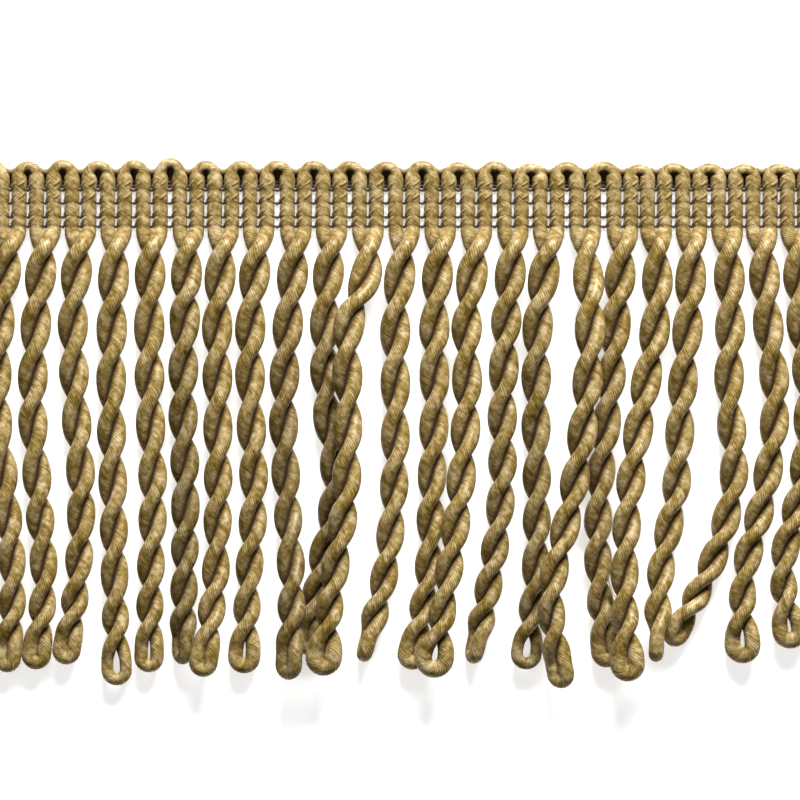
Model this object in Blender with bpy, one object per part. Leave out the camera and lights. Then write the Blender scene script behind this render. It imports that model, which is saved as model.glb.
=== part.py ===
"""Cord fringe trim: a cut length of bullion fringe, lying flat and face up.

X runs along the trim, +Y points from the fringe to the scalloped heading and +Z up. The origin is
the middle of the bounding box's bottom. One gimped cord makes the whole trim: it rises and falls
through the heading in upright runs, and hangs below it as twisted two-ply bullions with loop ends.
"""

from collections import namedtuple
from math import atan2, cos, pi, radians, sin, sqrt

import bmesh
import bpy
import numpy as np
from mathutils import Vector

# One reading step: the tables and the sizes below that end in _S are in steps of 0.2 mm.
STEP = 0.0002

# Driving dimensions.
RUN_SPACING_S = 17.9
RUN_HALF_WIDTH_S = 7.5
RUN_SHOULDER_SHARE = 0.62
RUN_CREST_S = 14.5
WEB_HEIGHT_S = 4.0
EDGE_HEIGHT_S = 6.5
STITCH_DIP = 0.80
VALLEY_S = 60.5
ARCH_TOP_S = 69.5
STITCH_ROWS_S = (11.0, 25.0, 38.0, 52.0)
PUFF_ROWS_S = (6.0, 18.0, 31.5, 45.0)

CORD_RADIUS_TOP_S = 16.2
CORD_RADIUS_TIP_S = 13.7
SECTION_HALF_WIDTH = 0.9
SECTION_HALF_THICKNESS = 0.415
RINGS_PER_HALF_TURN = 4.6
TIP_TO_LOOP_S = 23.0
LOOP_NECK_S = 6.0
LOOP_DEGREES = (0, 42, 90, 138, 180)
LOOP_HOLE_S = 4.5
DIRECTION_REACH_S = 3.0
REST_CLEARANCE_S = 0.5
TWIST_SLACK = 0.033
TWIST_SKEW = 1.4

STRIP_GAP = 0.0003
STRIP_WIDTH = 0.0012
STRIP_HEIGHT = 0.0016
ROOT_INSET = 0.0005
STRIP_OVERHANG = 0.0012

# Each row is one bullion, from left to right: where its root is, how far its axis has drifted at
# each fifth of the way down, how far it hangs below the heading, how many half-turns it makes and
# how wide its loop is. A whole number of half-turns leaves the loop face up.
Bullion = namedtuple("Bullion", "root d20 d40 d60 d80 d100 drop half_turns loop")
BULLIONS = (
    Bullion(-430.0, -8.0, -9.0, -6.0, -4.0, -6.0, 444.0, 9.2, 30.0),
    Bullion(-394.5, -9.5, -13.0, -4.0, 3.0, -3.5, 445.0, 9.1, 29.0),
    Bullion(-359.8, -7.7, -11.7, -6.0, -0.4, -9.7, 442.0, 8.95, 30.0),
    Bullion(-324.3, -6.5, -4.2, 1.5, -2.2, -15.5, 437.0, 9.0, 29.0),
    Bullion(-288.5, -3.4, -4.0, -2.0, -0.5, 1.5, 458.0, 9.0, 31.0),
    Bullion(-252.7, -1.8, -1.1, 1.8, -0.8, -2.5, 445.0, 9.0, 30.0),
    Bullion(-216.0, -2.9, -4.8, -2.4, -3.5, -5.5, 437.0, 9.3, 28.0),
    Bullion(-181.0, -5.3, -5.0, -4.7, -8.0, -20.5, 448.0, 9.0, 29.0),
    Bullion(-145.5, -7.5, -7.6, -4.4, -10.0, -15.0, 446.0, 9.0, 33.0),
    Bullion(-108.0, -7.3, -12.2, -8.5, -3.5, -6.5, 450.0, 9.2, 30.0),
    Bullion(-72.2, -6.0, -5.5, 3.2, -11.3, -27.0, 427.0, 9.0, 29.0),
    Bullion(-35.7, -16.8, -19.5, -21.8, -34.8, -45.8, 446.0, 9.0, 37.0),
    Bullion(0.7, -8.4, -8.9, -10.2, -19.7, -42.0, 434.0, 8.45, 29.0),
    Bullion(36.8, -5.7, -5.9, -8.9, -13.2, -31.0, 442.0, 9.0, 31.0),
    Bullion(73.2, -9.7, -10.1, -17.7, -30.7, -45.7, 448.0, 9.0, 39.0),
    Bullion(109.8, -6.6, -10.7, -11.6, -22.8, -41.3, 436.0, 9.4, 29.0),
    Bullion(145.7, -10.7, -13.0, -12.2, -14.2, -24.7, 442.0, 8.95, 32.0),
    Bullion(182.3, 3.4, -2.1, -15.8, -35.8, -23.8, 459.0, 9.2, 30.0),
    Bullion(219.8, -6.8, -14.6, -23.7, -24.3, -14.8, 440.0, 9.0, 31.0),
    Bullion(253.5, -0.8, -15.6, -29.0, -33.7, -30.0, 452.0, 9.0, 35.0),
    Bullion(289.0, -3.5, -10.7, -16.0, -32.0, -38.5, 432.5, 8.55, 28.0),
    Bullion(324.8, 2.2, 1.2, 5.7, -15.8, -58.3, 418.0, 8.8, 31.0),
    Bullion(359.5, 4.6, 12.8, 2.5, -18.2, -20.0, 436.0, 9.1, 37.0),
    Bullion(394.0, 3.8, 11.5, 5.5, -13.5, -4.5, 421.0, 9.0, 36.0),
    Bullion(430.0, 3.5, 9.0, 4.0, -8.0, -6.0, 432.0, 9.1, 31.0),
)

# How far a bullion that lies on its neighbours is raised at each fifth of its drop, by row number.
LIFTS = {
    7: (0.0, 0.0, 0.0, 4.0, 21.0),
    9: (0.0, 0.0, 0.0, 17.0, 29.0),
    11: (20.0, 23.0, 30.0, 28.0, 25.0),
    14: (8.0, 10.0, 18.0, 24.0, 23.0),
    17: (21.0, 22.0, 18.0, 26.0, 18.0),
    19: (0.0, 6.0, 15.0, 20.0, 25.0),
    20: (0.0, 0.0, 0.0, 6.0, 28.0),
}

# A bullion that steps aside at once: its drift a tenth of the way down, by row number.
STEPS_ASIDE = {11: -1.0}


def clear_scene():
    for thing in list(bpy.data.objects):
        bpy.data.objects.remove(thing, do_unlink=True)


def make_material(name, colour, roughness):
    material = bpy.data.materials.new(name)
    material.use_nodes = True
    shader = material.node_tree.nodes["Principled BSDF"]
    shader.inputs["Base Color"].default_value = (*colour, 1.0)
    shader.inputs["Roughness"].default_value = roughness
    shader.inputs["Metallic"].default_value = 0.0
    return material


def new_object(name, bm, material, collection):
    """Close a bmesh into an object of its own."""
    bmesh.ops.recalc_face_normals(bm, faces=bm.faces)
    mesh = bpy.data.meshes.new(name)
    bm.to_mesh(mesh)
    bm.free()
    mesh.materials.append(material)
    thing = bpy.data.objects.new(name, mesh)
    collection.objects.link(thing)
    return thing


def run_centres():
    """X of each upright run of cord in the heading, two for each bullion."""
    half = RUN_SPACING_S / 2
    return [bullion.root + side for bullion in BULLIONS for side in (-half, half)]


def arch_centres():
    """X of each arch, which joins one bullion's right run to the next one's left run."""
    roots = [bullion.root for bullion in BULLIONS]
    return [(left + right) / 2 for left, right in zip(roots, roots[1:])]


def heading_x_lines():
    """X of the grid's lines: two shoulders and a crest on each run, and the web between runs."""
    runs = run_centres()
    shoulder = RUN_SHOULDER_SHARE * RUN_HALF_WIDTH_S
    lines = [runs[0] - RUN_HALF_WIDTH_S]
    for place, run in enumerate(runs):
        lines += [run - shoulder, run, run + shoulder]
        if place + 1 < len(runs):
            lines.append((run + runs[place + 1]) / 2)
    lines.append(runs[-1] + RUN_HALF_WIDTH_S)
    return lines


def scallop(x):
    """Height of the heading's top edge at x: an arch between bullions, a valley over each."""
    nearest = min(arch_centres(), key=lambda centre: abs(centre - x))
    reach = min(abs(nearest - x) / RUN_SPACING_S, 1.0)
    return VALLEY_S + (ARCH_TOP_S - VALLEY_S) * sqrt(1.0 - reach * reach)


def heading_height(x, y, top):
    """Height of the heading's front at (x, y): round runs, dipped where a stitch row binds them."""
    run = min(run_centres(), key=lambda centre: abs(centre - x))
    across = min(abs(run - x) / RUN_HALF_WIDTH_S, 1.0)
    crest = WEB_HEIGHT_S + (RUN_CREST_S - WEB_HEIGHT_S) * sqrt(1.0 - across * across)
    if y in (0.0, *STITCH_ROWS_S):
        crest *= STITCH_DIP
    if y > STITCH_ROWS_S[-1]:
        arch = min(arch_centres(), key=lambda centre: abs(centre - x))
        under_arch = abs(arch - x) < RUN_SPACING_S / 2
        crest = RUN_CREST_S if under_arch else crest
    return EDGE_HEIGHT_S if y >= top else crest


def build_heading(material, collection):
    """The heading: a grid raised in its points, walled down to a flat back."""
    x_lines = heading_x_lines()
    rows = sorted((0.0, *STITCH_ROWS_S, *PUFF_ROWS_S))
    segments_x = len(x_lines) - 1
    segments_y = len(rows) + 1
    bm = bmesh.new()
    bmesh.ops.create_grid(bm, x_segments=segments_x, y_segments=segments_y, size=0.5)
    for vert in bm.verts:
        column = round((vert.co.x + 0.5) * segments_x)
        row = round((vert.co.y + 0.5) * segments_y)
        x = x_lines[column]
        top = scallop(x)
        if row < len(rows):
            y = rows[row]
        elif row == len(rows):
            y = (rows[-1] + top) / 2
        else:
            y = top
        vert.co = Vector((x, y, heading_height(x, y, top))) * STEP
    rim = [edge for edge in bm.edges if edge.is_boundary]
    wall = bmesh.ops.extrude_edge_only(bm, edges=rim)["geom"]
    for vert in (item for item in wall if isinstance(item, bmesh.types.BMVert)):
        vert.co.z = 0.0
    bmesh.ops.contextual_create(bm, geom=[edge for edge in bm.edges if edge.is_boundary])
    return new_object("heading", bm, material, collection)


def smooth_between(places, values, at):
    """A cubic curve through values at places, read at each of at. It starts level."""
    places = np.asarray(places, dtype=float)
    values = np.asarray(values, dtype=float)
    slopes = np.gradient(values, places)
    slopes[0] = 0.0
    index = np.clip(np.searchsorted(places, at, side="right") - 1, 0, len(places) - 2)
    span = places[index + 1] - places[index]
    t = (at - places[index]) / span
    return (
        (2 * t**3 - 3 * t**2 + 1) * values[index]
        + (t**3 - 2 * t**2 + t) * span * slopes[index]
        + (3 * t**2 - 2 * t**3) * values[index + 1]
        + (t**3 - t**2) * span * slopes[index + 1]
    )


def drift_stations(number):
    """Where down a bullion its drift is given, as shares of its drop, and the drift there."""
    bullion = BULLIONS[number]
    drifts = {0.0: 0.0, 0.2: bullion.d20, 0.4: bullion.d40, 0.6: bullion.d60, 0.8: bullion.d80}
    drifts[1.0] = bullion.d100
    if number in STEPS_ASIDE:
        drifts[0.1] = STEPS_ASIDE[number]
    places = sorted(drifts)
    return places, [drifts[place] for place in places]


def loop_ply_half(bullion):
    """Half the width of the ply that goes round a bullion's loop, in steps."""
    return (bullion.loop - LOOP_HOLE_S) / 4


class Axis:
    """One bullion's axis, read by the length along it, in steps."""

    SAMPLES = 240

    def __init__(self, number):
        bullion = BULLIONS[number]
        shares = np.linspace(0.0, 1.0, self.SAMPLES)
        x = bullion.root + smooth_between(*drift_stations(number), shares)
        y = -bullion.drop * shares
        lifts = (0.0, *LIFTS.get(number, (0.0,) * 5))
        lift = smooth_between((0.0, 0.2, 0.4, 0.6, 0.8, 1.0), lifts, shares)
        flat = np.hypot(np.diff(x), np.diff(y))
        self.along = np.concatenate(((0.0,), np.cumsum(flat)))
        self.length = self.along[-1]
        self.half_turns = bullion.half_turns
        turn = np.minimum(self.angle(self.along), atan2(SECTION_HALF_WIDTH, SECTION_HALF_THICKNESS))
        rising = SECTION_HALF_WIDTH * np.sin(turn) + SECTION_HALF_THICKNESS * np.cos(turn)
        resting = self.radius(self.along) + self.loop_rise(bullion) * shares**4
        z = resting * rising + REST_CLEARANCE_S + np.maximum(lift, 0.0)
        self.points = np.stack((x, y, z), axis=1)

    def radius(self, along):
        share = np.asarray(along) / self.length
        return CORD_RADIUS_TOP_S + (CORD_RADIUS_TIP_S - CORD_RADIUS_TOP_S) * share

    def loop_rise(self, bullion):
        """How much higher the axis ends where the loop stands on its edge."""
        facing = bullion.half_turns * pi
        stands = bullion.loop / 2 * abs(sin(facing)) + loop_ply_half(bullion) * abs(cos(facing))
        return max(stands - CORD_RADIUS_TIP_S, 0.0)

    def angle(self, along):
        """How far the two plies have turned about the axis: loosest in the middle of the drop."""
        share = np.minimum(np.asarray(along) / (self.length - TIP_TO_LOOP_S), 1.0)
        turned = share - TWIST_SLACK * np.sin(pi * share**TWIST_SKEW)
        return self.half_turns * pi * turned

    def point(self, along):
        return Vector([np.interp(along, self.along, self.points[:, axis]) for axis in range(3)])

    def frame(self, along):
        """The place at a length, and the level direction across the axis, up and down it."""
        below = self.point(min(along + DIRECTION_REACH_S, self.length))
        down = below - self.point(max(along - DIRECTION_REACH_S, 0.0))
        down.z = 0.0
        down.normalize()
        up = Vector((0.0, 0.0, 1.0))
        return self.point(along), up.cross(down), up, down

    def plies(self, along):
        """The place at a length, the direction from ply to ply and the one at right angles."""
        place, across, up, down = self.frame(along)
        turn = float(self.angle(along))
        return place, across * cos(turn) + up * sin(turn), up * cos(turn) - across * sin(turn), down


def add_ring(bm, places):
    return [bm.verts.new(place * STEP) for place in places]


def join_rings(bm, first, second):
    """Side faces between two rings of the same count."""
    count = len(first)
    for index in range(count):
        after = (index + 1) % count
        bm.faces.new((first[index], first[after], second[after], second[index]))


def ring_places(axis):
    """Lengths of the rings down one bullion, from its root to the neck of its loop."""
    neck = axis.length - TIP_TO_LOOP_S - LOOP_NECK_S
    count = round(axis.half_turns * RINGS_PER_HALF_TURN)
    root = (STRIP_GAP + ROOT_INSET) / STEP
    return np.linspace(root, neck, count)


def loop_sections(bullion, axis):
    """Four-sided sections around the loop, from the right ply's end to the left one's."""
    start = axis.length - TIP_TO_LOOP_S
    place, side, face, down = axis.plies(start)
    half = loop_ply_half(bullion)
    bend = bullion.loop / 2 - half
    straight = TIP_TO_LOOP_S - half - bend
    stations = [(bend, 0.0, 0.0)]
    for degrees in LOOP_DEGREES:
        turn = radians(degrees)
        stations.append((bend * cos(turn), straight + bend * sin(turn), turn))
    stations.append((-bend, 0.0, pi))
    for sideways, below, turn in stations:
        centre = place + side * sideways + down * below
        outward = side * cos(turn) + down * sin(turn)
        outer = centre + outward * half
        inner = centre - outward * half
        thick = face * half
        yield outer + thick, inner + thick, inner - thick, outer - thick


def add_bullion(bm, number):
    """One twisted bullion: a flat four-sided bar twisted about its axis, opening into a loop."""
    axis = Axis(number)
    rings = []
    for along in ring_places(axis):
        place, side, face, _ = axis.plies(along)
        wide = side * float(axis.radius(along)) * SECTION_HALF_WIDTH
        thick = face * float(axis.radius(along)) * SECTION_HALF_THICKNESS
        corners = (place + wide + thick, place - wide + thick)
        corners += (place - wide - thick, place + wide - thick)
        rings.append((corners, place, thick))
    loops = [add_ring(bm, corners) for corners, _, _ in rings]
    bm.faces.new(loops[0])
    for first, second in zip(loops, loops[1:-1]):
        join_rings(bm, first, second)
    _, neck, thick = rings[-1]
    mid_front, mid_back = add_ring(bm, (neck + thick, neck - thick))
    above = loops[-2]
    right_front, left_front, left_back, right_back = loops[-1]
    bm.faces.new((above[0], above[1], left_front, mid_front, right_front))
    bm.faces.new((above[1], above[2], left_back, left_front))
    bm.faces.new((above[2], above[3], right_back, mid_back, left_back))
    bm.faces.new((above[3], above[0], right_front, right_back))
    ply = [right_front, mid_front, mid_back, right_back]
    for section in loop_sections(BULLIONS[number], axis):
        ring = add_ring(bm, section)
        join_rings(bm, ply, ring)
        ply = ring
    join_rings(bm, ply, [left_front, mid_front, mid_back, left_back])


def build_strip(collection, material):
    """The backing strip that the bullions' roots are fused into."""
    left = (BULLIONS[0].root - RUN_SPACING_S / 2) * STEP - STRIP_OVERHANG
    right = (BULLIONS[-1].root + RUN_SPACING_S / 2) * STEP + STRIP_OVERHANG
    bm = bmesh.new()
    bmesh.ops.create_cube(bm, size=1.0)
    bmesh.ops.scale(bm, vec=(right - left, STRIP_WIDTH, STRIP_HEIGHT), verts=bm.verts)
    middle = Vector(((left + right) / 2, -STRIP_GAP - STRIP_WIDTH / 2, STRIP_HEIGHT / 2))
    bmesh.ops.translate(bm, vec=middle, verts=bm.verts)
    return new_object("bullion_fringe", bm, material, collection)


def build_fringe(material, collection, cutters):
    """The skirt: every bullion, fused to one strip at the roots."""
    strip = build_strip(collection, material)
    bm = bmesh.new()
    for number in range(len(BULLIONS)):
        add_bullion(bm, number)
    bmesh.ops.triangulate(bm, faces=bm.faces)
    cords = new_object("bullions", bm, material, cutters)
    cords.hide_render = True
    cords.display_type = "WIRE"
    fuse = strip.modifiers.new("roots", "BOOLEAN")
    fuse.operation = "UNION"
    fuse.solver = "EXACT"
    fuse.object = cords
    return strip


def offset_to_origin(things):
    """How far to move all so that the origin is the middle of the bounding box's bottom."""
    graph = bpy.context.evaluated_depsgraph_get()
    corners = []
    for thing in things:
        mesh = thing.evaluated_get(graph).to_mesh()
        corners += [vert.co.copy() for vert in mesh.vertices]
    low = Vector([min(corner[axis] for corner in corners) for axis in range(3)])
    high = Vector([max(corner[axis] for corner in corners) for axis in range(3)])
    return Vector((-(low.x + high.x) / 2, -(low.y + high.y) / 2, -low.z))


def main():
    clear_scene()
    trim = bpy.data.collections.new("cord_fringe_trim")
    cutters = bpy.data.collections.new("cutters")
    bpy.context.scene.collection.children.link(trim)
    bpy.context.scene.collection.children.link(cutters)
    gimp = make_material("rayon_gimp", (0.376, 0.262, 0.091), 0.42)
    heading = build_heading(gimp, trim)
    fringe = build_fringe(gimp, trim, cutters)
    offset = offset_to_origin((heading, fringe))
    for thing in (heading, fringe, *cutters.objects):
        thing.location = offset


main()
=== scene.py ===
"""Looks of a cord fringe trim: gimped rayon cord, its twisted bullions and the heading's stitches.

The whole trim is one gimped cord. It climbs and falls through the heading in upright runs, arches
from bullion to bullion along the scalloped edge, and is twisted on itself below the heading. The
file is laid out as an add-on: sizes and colours are property groups and each group of pieces has
an operator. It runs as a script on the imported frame.
"""

from collections import namedtuple
from math import cos, pi, radians, sin, sqrt

import bpy
import numpy as np
from bpy.props import FloatProperty, FloatVectorProperty, IntProperty, PointerProperty
from bpy.types import Operator, Panel, PropertyGroup
from mathutils import Matrix, Vector


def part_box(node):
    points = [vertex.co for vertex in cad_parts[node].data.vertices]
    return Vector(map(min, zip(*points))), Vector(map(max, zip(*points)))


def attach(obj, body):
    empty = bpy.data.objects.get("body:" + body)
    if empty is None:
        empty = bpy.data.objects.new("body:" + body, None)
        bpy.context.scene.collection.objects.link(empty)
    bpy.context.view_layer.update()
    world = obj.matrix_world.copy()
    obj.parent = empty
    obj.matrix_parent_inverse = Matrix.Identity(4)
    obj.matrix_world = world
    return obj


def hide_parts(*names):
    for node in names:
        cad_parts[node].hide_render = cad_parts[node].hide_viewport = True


bl_info = {
    "name": "Cord fringe trim",
    "version": (1, 0, 0),
    "blender": (4, 5, 0),
    "location": "3D View > Sidebar > Fringe",
    "description": "Builds a bullion fringe of gimped cord on its packed frame",
    "category": "Object",
}

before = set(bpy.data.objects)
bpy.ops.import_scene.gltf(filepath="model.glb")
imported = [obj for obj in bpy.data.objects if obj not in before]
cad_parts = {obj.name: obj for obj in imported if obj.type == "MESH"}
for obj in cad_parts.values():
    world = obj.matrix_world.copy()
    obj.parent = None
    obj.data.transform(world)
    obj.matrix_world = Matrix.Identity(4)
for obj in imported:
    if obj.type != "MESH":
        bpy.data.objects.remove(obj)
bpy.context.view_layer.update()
HEADING_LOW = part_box("heading")[0]

# One reading step: the tables and every size that ends in _S are in steps of 0.2 mm.
STEP = 0.0002

# The heading's upright runs of cord, two for each bullion. A stitch pinches a run, and above its
# shoulder a run swells a little.
RUN_SPACING_S = 17.9
RUN_HALF_WIDTH_S = 7.5
RUN_HEIGHT_S = 7.9
PAIR_DRAW_S = 0.35
PAIR_HALF_S = RUN_SPACING_S / 2 - PAIR_DRAW_S
RUN_POINT_SPACING_S = 1.6
STITCH_ROWS_S = (1.5, 11.0, 25.0, 38.0, 52.0)
PINCH_REACH_S = 1.8
SHOULDER_S = 42.0
SHOULDER_RISE_S = 8.0
SHOULDER_SWELL = 0.05

# The arches over the runs. Their tops fall a little from left to right, and one stands tall. The
# inner side of each arch takes painted shade.
SPRING_S = 53.7
ARCH_RADIUS_S = 6.4
ARCH_FALL = 0.004
TALL_ARCHES = {5: 3.0}
ARCH_STEP_DEG = 9.0
ARCH_TOP_DEG = 90.0
ARCH_END_DEG = 180.0 - ARCH_STEP_DEG
ARCH_SHADE_REACH = 1.15
HIDDEN_END_TAPER = 0.93

# The twist of a bullion: how its turns spread, how the plies lie on each other and how they swell.
CORD_RADIUS_TOP_S = 16.2
CORD_RADIUS_TIP_S = 13.7
TWIST_SLACK = 0.033
TWIST_SKEW = 1.4
FLAT_SETTLE = 0.12
HELD_ENDS_S = 60.0
UNEVEN_WAVE_S = 90.0
UNEVEN_TURN = 0.1
AXIS_REACH_S = 3.0
PLY_POINT_SPACING_S = 1.8
PLY_APART = 0.9
PLY_THICK = 1.03
PLY_SWELL = 0.065
SWELL_GROWS_S = 30.0
# How far down a bullion the painted shade in the crease between its plies grows in.
CREASE_SHADE_GROWS_S = 26.0
REST_CLEARANCE_S = 1.15

# How the runs turn into plies below the heading.
PLY_START_S = 2.0
PLIES_CLOSE_S = 11.0
PLIES_THICKEN_S = 7.0
PLIES_SETTLE_S = 24.0
PLIES_SETTLED_S = 6.0

# The loop at a bullion's tip, and how the plies open into it.
TIP_TO_LOOP_S = 24.0
LOOP_OPENS_S = 24.0
LOOP_OPENS_EARLY_S = 22.0
# The share of that painted crease shade which fades as the plies open into the loop.
LOOP_SHADE_FADES = 0.7
LOOP_POINTS = 17

# Each row is one bullion, from left to right: where its root is, how far its axis has drifted at
# each fifth of the way down, how far it hangs below the heading, how many half-turns it makes and
# how wide its loop is. A whole number of half-turns leaves the loop face up.
Bullion = namedtuple("Bullion", "root d20 d40 d60 d80 d100 drop half_turns loop")
BULLIONS = (
    Bullion(-430.0, -8.0, -9.0, -6.0, -4.0, -6.0, 444.0, 9.2, 30.0),
    Bullion(-394.5, -9.5, -13.0, -4.0, 3.0, -3.5, 445.0, 9.1, 29.0),
    Bullion(-359.8, -7.7, -11.7, -6.0, -0.4, -9.7, 442.0, 8.95, 30.0),
    Bullion(-324.3, -6.5, -4.2, 1.5, -2.2, -15.5, 437.0, 9.0, 29.0),
    Bullion(-288.5, -3.4, -4.0, -2.0, -0.5, 1.5, 458.0, 9.0, 31.0),
    Bullion(-252.7, -1.8, -1.1, 1.8, -0.8, -2.5, 445.0, 9.0, 30.0),
    Bullion(-216.0, -2.9, -4.8, -2.4, -3.5, -5.5, 437.0, 9.3, 28.0),
    Bullion(-181.0, -5.3, -5.0, -4.7, -8.0, -20.5, 448.0, 9.0, 29.0),
    Bullion(-145.5, -7.5, -7.6, -4.4, -10.0, -15.0, 446.0, 9.0, 33.0),
    Bullion(-108.0, -7.3, -12.2, -8.5, -3.5, -6.5, 450.0, 9.2, 30.0),
    Bullion(-72.2, -6.0, -5.5, 3.2, -11.3, -27.0, 427.0, 9.0, 29.0),
    Bullion(-35.7, -16.8, -19.5, -21.8, -34.8, -45.8, 446.0, 9.0, 37.0),
    Bullion(0.7, -8.4, -8.9, -10.2, -19.7, -42.0, 434.0, 8.45, 29.0),
    Bullion(36.8, -5.7, -5.9, -8.9, -13.2, -31.0, 442.0, 9.0, 31.0),
    Bullion(73.2, -9.7, -10.1, -17.7, -30.7, -45.7, 448.0, 9.0, 39.0),
    Bullion(109.8, -6.6, -10.7, -11.6, -22.8, -41.3, 436.0, 9.4, 29.0),
    Bullion(145.7, -10.7, -13.0, -12.2, -14.2, -24.7, 442.0, 8.95, 32.0),
    Bullion(182.3, 3.4, -2.1, -15.8, -35.8, -23.8, 459.0, 9.2, 30.0),
    Bullion(219.8, -6.8, -14.6, -23.7, -24.3, -14.8, 440.0, 9.0, 31.0),
    Bullion(253.5, -0.8, -15.6, -29.0, -33.7, -30.0, 452.0, 9.0, 35.0),
    Bullion(289.0, -3.5, -10.7, -16.0, -32.0, -38.5, 432.5, 8.55, 28.0),
    Bullion(324.8, 2.2, 1.2, 5.7, -15.8, -58.3, 418.0, 8.8, 31.0),
    Bullion(359.5, 4.6, 12.8, 2.5, -18.2, -20.0, 436.0, 9.1, 37.0),
    Bullion(394.0, 3.8, 11.5, 5.5, -13.5, -4.5, 421.0, 9.0, 36.0),
    Bullion(430.0, 3.5, 9.0, 4.0, -8.0, -6.0, 432.0, 9.1, 31.0),
)

# How far a bullion that lies on its neighbours is raised at each fifth of its drop, by row number.
LIFTS = {
    7: (0.0, 0.0, 0.0, 4.0, 21.0),
    9: (0.0, 0.0, 0.0, 17.0, 29.0),
    11: (20.0, 23.0, 30.0, 28.0, 25.0),
    14: (8.0, 10.0, 18.0, 24.0, 23.0),
    17: (21.0, 22.0, 18.0, 26.0, 18.0),
    19: (0.0, 6.0, 15.0, 20.0, 25.0),
    20: (0.0, 0.0, 0.0, 6.0, 28.0),
}

# How wide the hole in a loop is, by row number. The plies of all other loops press together.
LOOP_HOLES = {4: 6.0, 5: 2.0, 8: 2.0, 14: 4.5, 16: 7.0, 21: 3.0, 22: 4.0, 23: 2.5}
CLOSED_HOLE_S = -1.2

# How bright the lower half of a bullion is that lies in its neighbours' shade, by row number.
SHADED = {6: 0.66, 9: 0.68, 10: 0.72, 15: 0.85, 16: 0.76, 18: 0.82}

# A bullion that steps aside at once: its drift a tenth of the way down, by row number.
STEPS_ASIDE = {11: -1.0}

# The binding rows: a thread that dips into each run and lies deep and low in each gap.
ROW_TURNS_DEG = range(20, 161, 20)
CREASE_RISE_S = 2.4
ROW_SINK = 0.7
GAP_DEPTH_S = 2.0
GAP_SWELL = 1.2
BACK_SHIFT_S = 1.0
BACK_LIFT = 2.2

# A chain stitch's left and right leg: its length, the turns round the run where it starts and
# ends, and how far above its row it starts. The right leg shows only on a bullion's right run
# and from row number LEG_ROWS_BOTH up.
Leg = namedtuple("Leg", "length first_deg last_deg start")
LEGS = {-1: Leg(8.5, 4.0, 70.0, 0.8), 1: Leg(6.0, 88.0, 34.0, 4.5)}
LEG_ROWS_BOTH = 2
LEG_SINK_S = 0.25
LEG_DIP_S = 1.6
LEG_POINTS = 9

# The warp threads behind the arches, and the saddle thread in each valley between two arches.
BACKING_ROWS_S = (43.0, 47.0, 51.0, 55.0, 58.2)
BACKING_RADIUS_S = 2.1
BACKING_END_S = 2.0
SADDLE_PLACES_S = (-6, -3, 0, 3, 6)
SADDLE_Y_S = 57.0
SADDLE_HEIGHT_S = 8.0
SADDLE_BEND_S = 14.0
SADDLE_RADIUS_S = 2.6

THREAD_SIDES = 8
SADDLE_SIDES = 10
BULLIONS_PER_PIECE = 5

# How many times a streak's noise changes along a metre of cord. It changes once from yarn to yarn.
STREAKS_A_METRE = 700.0

# The route of a yarn that has worked loose and lies in the seam between two bullions.
LOOSE_YARN_S = (
    (210.0, -341.0, 34.0),
    (204.0, -347.0, 31.0),
    (204.5, -353.0, 29.5),
    (206.5, -359.0, 30.5),
    (208.5, -364.0, 33.0),
    (211.0, -368.0, 36.0),
)

# Where the steps' zero lies in the frame: the heading's lower edge, under the table's zero root.
ZERO_X = HEADING_LOW[0] - (BULLIONS[0].root - RUN_SPACING_S / 2 - RUN_HALF_WIDTH_S) * STEP
ZERO_Y = HEADING_LOW[1]

# The photograph's frame in steps: the step at its left edge and the one at its upper edge.
PHOTO_SIDE_PX = 800
PHOTO_LEFT_S = -403.5
PHOTO_TOP_S = 228.0

# The lights' places in the frame and their sizes. The fill's power is a share of the key's.
Lamp = namedtuple("Lamp", "place size")
KEY = Lamp((0.10, 0.66, 0.44), (0.4, 0.25))
FILL = Lamp((-0.3, -0.1, 0.9), (0.6, 0.6))
WASH = Lamp((0.0, 0.0, 1.2), (1.0, 1.0))
FILL_SHARE = 0.075
SENSOR_MM = 36.0
FLOOR_SIZE = 6.0


class GimpSettings(PropertyGroup):
    """The gimped cord that the whole trim is made of."""

    yarns: IntProperty(name="Yarns", description="Rayon yarns wrapped side by side", default=12)
    wrap_lead: FloatProperty(
        name="Wrap lead",
        description="Length of cord in which a yarn goes round once",
        default=0.0062,
        unit="LENGTH",
    )
    ridge_depth: FloatProperty(
        name="Ridge depth",
        description="Depth of the groove between yarns, as a share of the cord's radius",
        default=0.06,
        subtype="FACTOR",
    )
    ring_spacing: FloatProperty(
        name="Ring spacing",
        description="Distance between the rings of the cord's mesh",
        default=0.0004,
        unit="LENGTH",
    )
    highlight: FloatVectorProperty(
        name="Yarn colour",
        description="Colour of the yarns' crests",
        default=(0.365, 0.26, 0.083),
        subtype="COLOR",
    )
    # Painted shade: the darker colour laid in the grooves between the yarns.
    shade: FloatVectorProperty(
        name="Groove colour",
        description="Colour in the grooves between the yarns",
        default=(0.2, 0.113, 0.015),
        subtype="COLOR",
    )
    # Painted shade: the dark colour laid where the plies face each other in their crease and on the
    # inner side of each arch.
    crease_shade_colour: FloatVectorProperty(
        name="Tucked colour",
        description="Colour where the two plies press together",
        default=(0.04, 0.013, 0.001),
        subtype="COLOR",
    )
    loose_radius: FloatProperty(
        name="Loose yarn radius",
        description="Radius of the yarn that has worked loose",
        default=0.7 * STEP,
        unit="LENGTH",
    )
    loose_colour: FloatVectorProperty(
        name="Loose yarn colour",
        description="Colour of the yarn that has worked loose",
        default=(0.52, 0.42, 0.24),
        subtype="COLOR",
    )


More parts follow.
